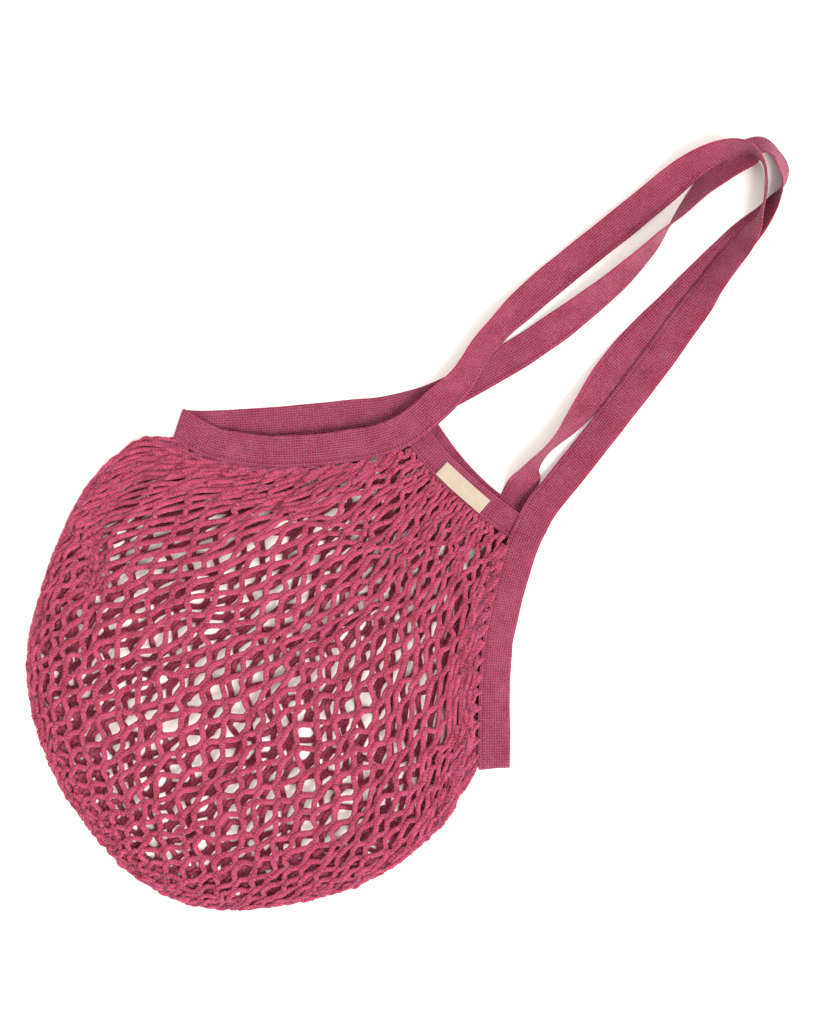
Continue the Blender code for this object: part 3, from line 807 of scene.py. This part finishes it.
def layer_knots(layer, generator):
    """The knots, row by row: even rows lie on whole columns and odd rows half a column on."""
    rows, columns = np.mgrid[0 : ROWS + 1, 0 : COLUMNS + 1].astype(float)
    columns += 0.5 * (rows % 2)
    shape = rows.shape
    rows, columns = rows.ravel(), columns.ravel()
    numbers = np.column_stack([columns, rows])
    free = smoothstep(rows / RIM_ROWS)
    aside, along = (uneven(numbers, generator) for _ in range(2))
    columns, rows = columns + free * aside, rows + free * along
    places, beyond = layer.points(columns, rows)
    down = layer.points(columns, rows + 0.5)[0] - layer.points(columns, rows - 0.5)[0]
    across = layer.points(columns + 0.5, rows)[0] - layer.points(columns - 0.5, rows)[0]
    area = np.linalg.norm(np.cross(down, across), axis=1)
    crowded = np.clip(1 - area / OPEN_AREA, 0, 1)
    depth = SINK * crowded * free * np.clip(SINK_TURN - beyond, 0, 1)
    sunk = places[:, 2] - depth * generator.uniform(0, 1, len(rows))
    places[:, 2] = np.maximum(sunk, np.minimum(places[:, 2], BACK_HEIGHT))
    down = unit(down)
    across = unit(across - (across * down).sum(axis=1, keepdims=True) * down)
    face = np.cross(down, across)
    vectors = [values.reshape(*shape, 3) for values in (places, down, across, face)]
    radius = YARN_RADIUS * (1 - THINNED * crowded)
    return Knots(*vectors, beyond.reshape(shape), radius.reshape(shape))


def yarn_knots(number):
    """For each row, the knot that a yarn passes and the side on which it passes."""
    first, odd_kind = divmod(number, 2)
    even = np.arange(ROWS + 1) % 2 == 0
    if odd_kind:
        return np.where(even, first + 1, first), np.where(even, -1, 1)
    return np.full(ROWS + 1, first), np.where(even, 1, -1)


def strand_points(start, start_way, end, end_way, face, curl, turn):
    """Points between two knots: a smooth S curve that bulges where the strand is slack."""
    shares = np.arange(1, STRAND_STEPS) / STRAND_STEPS
    run = np.linalg.norm(end - start)
    q = shares[:, None]
    bend = KNOT_BEND * run
    points = (
        (2 * q**3 - 3 * q**2 + 1) * start + (q**3 - 2 * q**2 + q) * bend * start_way
        + (-2 * q**3 + 3 * q**2) * end + (q**3 - q**2) * bend * end_way
    )
    aside = unit(np.cross(end - start, face))
    bulge = aside * math.cos(turn) + CURL_LIFT * face * abs(math.sin(turn))
    return points + np.sin(math.pi * q) * curl * bulge


def yarn_path(number, knots, limit, generator):
    """One yarn down to where it ends: points along its middle, the net's face and the yarn's radius there."""
    columns, sides = yarn_knots(number)
    rows = np.arange(ROWS + 1)
    past = np.nonzero(knots.beyond[rows, columns] > limit)[0]
    rows = rows[: past[0] + 1] if len(past) else rows
    columns, sides = columns[: len(rows)], sides[: len(rows)]
    way, out = knots.down[rows, columns], knots.face[rows, columns]
    spread = RIM_SPREAD + (KNOT_SPREAD - RIM_SPREAD) * smoothstep(rows / SPREAD_ROWS)
    radius = knots.radius[rows, columns]
    aside = knots.across[rows, columns] * (sides * spread * radius)[:, None]
    middle = knots.places[rows, columns] + aside + out * (sides * KNOT_LIFT)[:, None]
    before, after = middle - way * KNOT_HALF, middle + way * KNOT_HALF
    before[0] = middle[0] - way[0] * RIM_TRIM
    points, outward = [before[0], after[0]], [out[0], out[0]]
    radii = [radius[0], radius[0]]
    for r in rows[1:]:
        slack = STRAND_LENGTH - 2 * KNOT_HALF - np.linalg.norm(before[r] - after[r - 1])
        curl = min(MOST_CURL, CURL_SHARE * math.sqrt(max(0.0, slack) * STRAND_LENGTH))
        curl *= generator.uniform(LEAST_CURL, 1.0)
        turn = generator.uniform(0, 2 * math.pi)
        face = unit(out[r - 1] + out[r])
        strand = strand_points(after[r - 1], way[r - 1], before[r], way[r], face, curl, turn)
        points += [*strand, before[r], after[r]]
        outward += [face] * len(strand) + [out[r], out[r]]
        radii += [*np.linspace(radius[r - 1], radius[r], len(strand)), radius[r], radius[r]]
    return np.array(points), np.array(outward), np.array(radii)


def yarn_tube(path, outward, radii, lead):
    """Points and UVs of a slightly flat tube round a path. The UVs are round the yarn and along it."""
    along = unit(np.gradient(path, axis=0))
    side = unit(np.cross(along, outward))
    top = np.cross(side, along)
    angles = 2 * math.pi * np.arange(YARN_SIDES) / YARN_SIDES
    ring = (
        side[:, None, :] * np.cos(angles)[None, :, None]
        + top[:, None, :] * (YARN_FLATNESS * np.sin(angles))[None, :, None]
    )
    points = path[:, None, :] + radii[:, None, None] * ring
    points[:, :, 2] = np.maximum(points[:, :, 2], LOWEST)
    gone = np.concatenate([[0.0], np.cumsum(np.linalg.norm(np.diff(path, axis=0), axis=1))])
    return points.reshape(-1, 3), (gone + lead) * MM


def tube_faces(count, first):
    """Four-sided faces of a tube with this many rings, whose first point has the number given."""
    here = first + np.arange(count - 1)[:, None] * YARN_SIDES
    k = np.arange(YARN_SIDES)[None, :]
    nxt = (k + 1) % YARN_SIDES
    there = here + YARN_SIDES
    return np.stack([here + k, there + k, there + nxt, here + nxt], axis=-1).reshape(-1, 4)


def tube_uvs(along):
    """The corners of each face: the share of the way round the yarn, and metres along it."""
    rounds = np.arange(YARN_SIDES + 1) / YARN_SIDES
    count = len(along) - 1
    u = np.broadcast_to(rounds[None, :-1], (count, YARN_SIDES))
    u_next = np.broadcast_to(rounds[None, 1:], (count, YARN_SIDES))
    v = np.broadcast_to(along[:-1, None], (count, YARN_SIDES))
    v_next = np.broadcast_to(along[1:, None], (count, YARN_SIDES))
    return np.stack([u, v, u, v_next, u_next, v_next, u_next, v], axis=-1).reshape(-1, 2)


def add_yarns(name, paths, look):
    """Joins tubes round several paths in one piece and returns it with the yarns' whole length."""
    points, quads, uvs, ends = [], [], [], []
    first, length = 0, 0.0
    for number, (path, outward, radii) in enumerate(paths):
        tube, along = yarn_tube(path, outward, radii, YARN_LEAD * number)
        points.append(tube)
        quads.append(tube_faces(len(path), first))
        uvs.append(tube_uvs(along))
        last = first + len(tube)
        ends.append(tuple(range(first, first + YARN_SIDES)))
        ends.append(tuple(reversed(range(last - YARN_SIDES, last))))
        first = last
        length += along[-1] - along[0]
    joined = np.concatenate(points) + PLAN_MOVE
    piece = add_mesh(name, joined, np.concatenate(quads), np.concatenate(uvs), look, ends)
    return piece, length


def add_net(look):
    """The whole net in several pieces, each with an even share of the yarns."""
    generator = np.random.default_rng(SEED)
    front = Layer(
        LEFT_FOLD + FRONT_LEFT_BINDING + FRONT_LEFT_STRAP[:2], FRONT_BAND,
        FRONT_RIGHT_STRAP[-2:] + FRONT_RIGHT_BINDING + RIGHT_FOLD, front=True,
    )
    back = Layer(
        LEFT_FOLD + BACK_LEFT_BINDING[::-1] + BACK_LEFT_STRAP[:-3:-1], BACK_BAND,
        BACK_RIGHT_STRAP[1::-1] + BACK_RIGHT_BINDING[::-1] + RIGHT_FOLD, front=False,
    )
    paths = []
    for layer, limit in ((front, WRAP_TURN), (back, math.pi / 2)):
        knots = layer_knots(layer, generator)
        paths += [yarn_path(number, knots, limit, generator) for number in range(2 * COLUMNS)]
    share = math.ceil(len(paths) / YARN_PIECES)
    for number in range(YARN_PIECES):
        chosen = paths[number * share : (number + 1) * share]
        piece, length = add_yarns(f"net_{number + 1}", chosen, look)
        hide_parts("net_body")
        print(piece.name, "yarn", round(length, 2), "m")


# Materials


class Nodes:
    """Short calls for a material's nodes. A value may be a number or another node's output."""

    def __init__(self, name):
        self.material = bpy.data.materials.new(name)
        self.material.use_nodes = True
        self.tree = self.material.node_tree
        self.shader = self.tree.nodes["Principled BSDF"]

    def add(self, kind, inputs=(), **settings):
        node = self.tree.nodes.new(kind)
        for key, value in settings.items():
            setattr(node, key, value)
        for key, value in dict(inputs).items():
            self.put(node.inputs[key], value)
        return node

    def put(self, socket, value):
        if isinstance(value, bpy.types.NodeSocket):
            self.tree.links.new(value, socket)
        else:
            socket.default_value = value

    def math(self, operation, first, second=0.0, third=0.0):
        node = self.add("ShaderNodeMath", {0: first, 1: second, 2: third}, operation=operation)
        return node.outputs[0]

    def wave(self, value, pitch):
        """1 to 0 and back once in each pitch."""
        turns = self.math("DIVIDE", value, pitch)
        swing = self.math("COSINE", self.math("MULTIPLY", turns, 2 * math.pi))
        return self.math("MULTIPLY_ADD", swing, 0.5, 0.5)

    def noise(self, scale, detail):
        """Noise over the whole piece, from 0 to 1 and about a half in the mean."""
        place = self.add("ShaderNodeTexCoord").outputs["Object"]
        inputs = {"Vector": place, "Scale": scale, "Detail": detail}
        return self.add("ShaderNodeTexNoise", inputs).outputs["Fac"]

    def mix(self, share, first, second):
        """A colour between two. A mix node's colours are its inputs 6 and 7 and its output 2."""
        node = self.add("ShaderNodeMix", data_type="RGBA")
        self.put(node.inputs[0], share)
        self.put(node.inputs[6], first)
        self.put(node.inputs[7], second)
        return node.outputs[2]

    def uv(self):
        """The two values of the piece's own pattern: across or round it, and along it."""
        split = self.add("ShaderNodeSeparateXYZ", {0: self.add("ShaderNodeUVMap").outputs[0]})
        return split.outputs[0], split.outputs[1]

    def spread(self, value, reach, base):
        """The base, raised or lowered by a noise value about its middle."""
        return self.math("MULTIPLY_ADD", self.math("SUBTRACT", value, 0.5), reach, base)

    def finish(self, cloth, tone, height):
        """The material of a cloth whose tone goes from its deepest to its palest colour."""
        relief = {"Strength": 1.0, "Distance": cloth.relief, "Height": height}
        settings = {
            "Base Color": self.mix(tone, cloth.deep, cloth.pale),
            "Normal": self.add("ShaderNodeBump", relief).outputs[0],
            "Roughness": cloth.roughness,
            "Sheen Weight": cloth.sheen,
            "Sheen Roughness": SHEEN_ROUGHNESS,
            "Specular IOR Level": SHINE,
            "Subsurface Weight": cloth.glow,
            "Subsurface Radius": GLOW_REACH,
            "Subsurface Scale": 1.0,
        }
        for name, value in settings.items():
            self.put(self.shader.inputs[name], value)
        return self.material


def tape_look():
    """Ribbed cotton tape: ribs along it, the weft across them and a line of stitches by its net edge."""
    nodes = Nodes("ribbed tape")
    u, v = nodes.uv()
    fibres = nodes.noise(TAPE.fibres, FIBRE_DETAIL)
    blotches = nodes.noise(TAPE.blotches, BLOTCH_DETAIL)
    off_seam = nodes.math("ABSOLUTE", nodes.math("SUBTRACT", u, STITCH_INSET))
    seam = nodes.math("LESS_THAN", off_seam, STITCH_WIDTH)
    stitch = nodes.math("MULTIPLY", seam, nodes.wave(v, STITCH_PITCH))
    ribs = nodes.math("MULTIPLY_ADD", nodes.wave(u, RIB_PITCH), RIB_DEPTH, 1 - RIB_DEPTH)
    wefts = nodes.math("MULTIPLY_ADD", nodes.wave(v, WEFT_PITCH), WEFT_DEPTH, 1 - WEFT_DEPTH)
    weave_relief_and_shade = nodes.math("MULTIPLY", ribs, wefts)
    height = nodes.math("MULTIPLY_ADD", fibres, FIBRE_DEPTH, nodes.math("SUBTRACT", weave_relief_and_shade, stitch))
    # Painted shade: the tone follows the weave's relief, darker in the grooves between ribs and weft than on
    # their crests
    tone = nodes.spread(blotches, TAPE.blotch_tone, weave_relief_and_shade)
    tone = nodes.math("SUBTRACT", tone, nodes.math("MULTIPLY", stitch, STITCH_SHADE))
    tone = nodes.spread(fibres, TAPE.fibre_tone, tone)
    return nodes.finish(TAPE, tone, height)


def yarn_look():
    """Soft cotton yarn: two plies laid round each other, fuzzy, with paler and deeper stretches."""
    nodes = Nodes("net yarn")
    u, v = nodes.uv()
    twist = nodes.math("ADD", nodes.math("DIVIDE", v, PLY_PITCH), u)
    ply_relief_and_shade = nodes.wave(twist, PLY_TURN)
    fibres = nodes.noise(YARN.fibres, FIBRE_DETAIL)
    blotches = nodes.noise(YARN.blotches, BLOTCH_DETAIL)
    height = nodes.math("MULTIPLY_ADD", ply_relief_and_shade, PLY_DEPTH, fibres)
    tone = nodes.spread(fibres, YARN.fibre_tone, YARN_TONE)
    # Painted shade: the groove between the plies is painted darker than the plies' crests
    tone = nodes.math("MULTIPLY_ADD", ply_relief_and_shade, PLY_GROOVE_SHADE, tone)
    tone = nodes.spread(blotches, YARN.blotch_tone, tone)
    return nodes.finish(YARN, tone, height)


def label_look():
    """Plain-woven cream cotton."""
    nodes = Nodes("label cotton")
    u, v = nodes.uv()
    weave_relief_and_shade = nodes.math("MULTIPLY", nodes.wave(u, LABEL_PITCH), nodes.wave(v, LABEL_PITCH))
    blotches = nodes.noise(LABEL_COTTON.blotches, LABEL_DETAIL)
    # Painted shade: the tone follows the weave's relief, darker between the threads than on them
    tone = nodes.spread(blotches, LABEL_COTTON.blotch_tone, weave_relief_and_shade)
    return nodes.finish(LABEL_COTTON, tone, weave_relief_and_shade)


# Stage


def plan_of_pixel(across, down):
    """Where a pixel of the photo lies in the part's plan."""
    x = ((across + down) / math.sqrt(2) - ALONG_OFFSET) * PIXEL
    y = (across - down) / math.sqrt(2) * PIXEL
    return np.array([x, y, 0.0]) + PLAN_MOVE


def add_camera():
    """Looks straight down, turned so that the handles point to the photo's upper right."""
    data = bpy.data.cameras.new("camera")
    data.sensor_width = SENSOR
    data.lens = SENSOR * CAMERA_DISTANCE / (PHOTO_HEIGHT * PIXEL)
    camera = bpy.data.objects.new("camera", data)
    centre = plan_of_pixel(PHOTO_WIDTH / 2, PHOTO_HEIGHT / 2) + UP * CAMERA_DISTANCE
    camera.location = centre * MM
    camera.rotation_euler = (0, 0, math.radians(CAMERA_TURN))
    bpy.context.collection.objects.link(camera)
    bpy.context.scene.camera = camera


def add_light():
    """An even sky and one soft sun."""
    world = bpy.data.worlds.new("sky")
    world.use_nodes = True
    background = world.node_tree.nodes["Background"]
    background.inputs["Color"].default_value = SKY_COLOUR
    background.inputs["Strength"].default_value = SKY_STRENGTH
    bpy.context.scene.world = world
    data = bpy.data.lights.new("window", "SUN")
    data.energy = SUN_STRENGTH
    data.angle = math.radians(SUN_SOFTNESS)
    data.color = SUN_COLOUR
    light = bpy.data.objects.new("window", data)
    light.rotation_euler = (0, math.radians(90 - SUN_ELEVATION), math.radians(SUN_HEADING))
    bpy.context.collection.objects.link(light)
    bpy.context.scene.view_settings.view_transform = "Standard"


def add_floor():
    """The pale ground that the bag lies on."""
    size = FLOOR_SIZE / 2
    mesh = bpy.data.meshes.new("floor")
    corners = [(-size, -size, 0), (size, -size, 0), (size, size, 0), (-size, size, 0)]
    mesh.from_pydata(corners, [], [(0, 1, 2, 3)])
    nodes = Nodes("pale floor")
    nodes.put(nodes.shader.inputs["Base Color"], FLOOR_COLOUR)
    nodes.put(nodes.shader.inputs["Roughness"], 1.0)
    nodes.put(nodes.shader.inputs["Specular IOR Level"], 0.0)
    mesh.materials.append(nodes.material)
    floor = bpy.data.objects.new("floor", mesh)
    bpy.context.collection.objects.link(floor)


def add_tapes():
    """The one long tape of bindings and handles, the two bands and the label."""
    look = tape_look()
    loop = (
        FRONT_LEFT_BINDING + FRONT_LEFT_STRAP + FRONT_TIP + FRONT_RIGHT_STRAP + FRONT_RIGHT_BINDING
        + RIGHT_FOLD + BACK_RIGHT_BINDING + BACK_RIGHT_STRAP + BACK_TIP + BACK_LEFT_STRAP
        + BACK_LEFT_BINDING + LEFT_FOLD
    )
    made = [
        ("handle_tape", loop, TAPE_WIDTH, TAPE_THICKNESS, look, "tape", True),
        ("front_band", FRONT_BAND, BAND_WIDTH, TAPE_THICKNESS, look, "tape", False),
        ("back_band", BACK_BAND, BAND_WIDTH, TAPE_THICKNESS, look, "tape", False),
        ("label", LABEL, LABEL_WIDTH, LABEL_THICKNESS, label_look(), "label", False),
    ]
    for node, stations, width, thickness, finish, slot, closed in made:
        piece, length = add_tape(f"{node}_cloth", stations, width, thickness, finish, closed)
        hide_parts(node)
        print(piece.name, "length", round(length, 3), "m")


def main():
    """Builds the stage and the pieces."""
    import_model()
    add_camera()
    add_light()
    add_floor()
    add_tapes()
    add_net(yarn_look())


main()
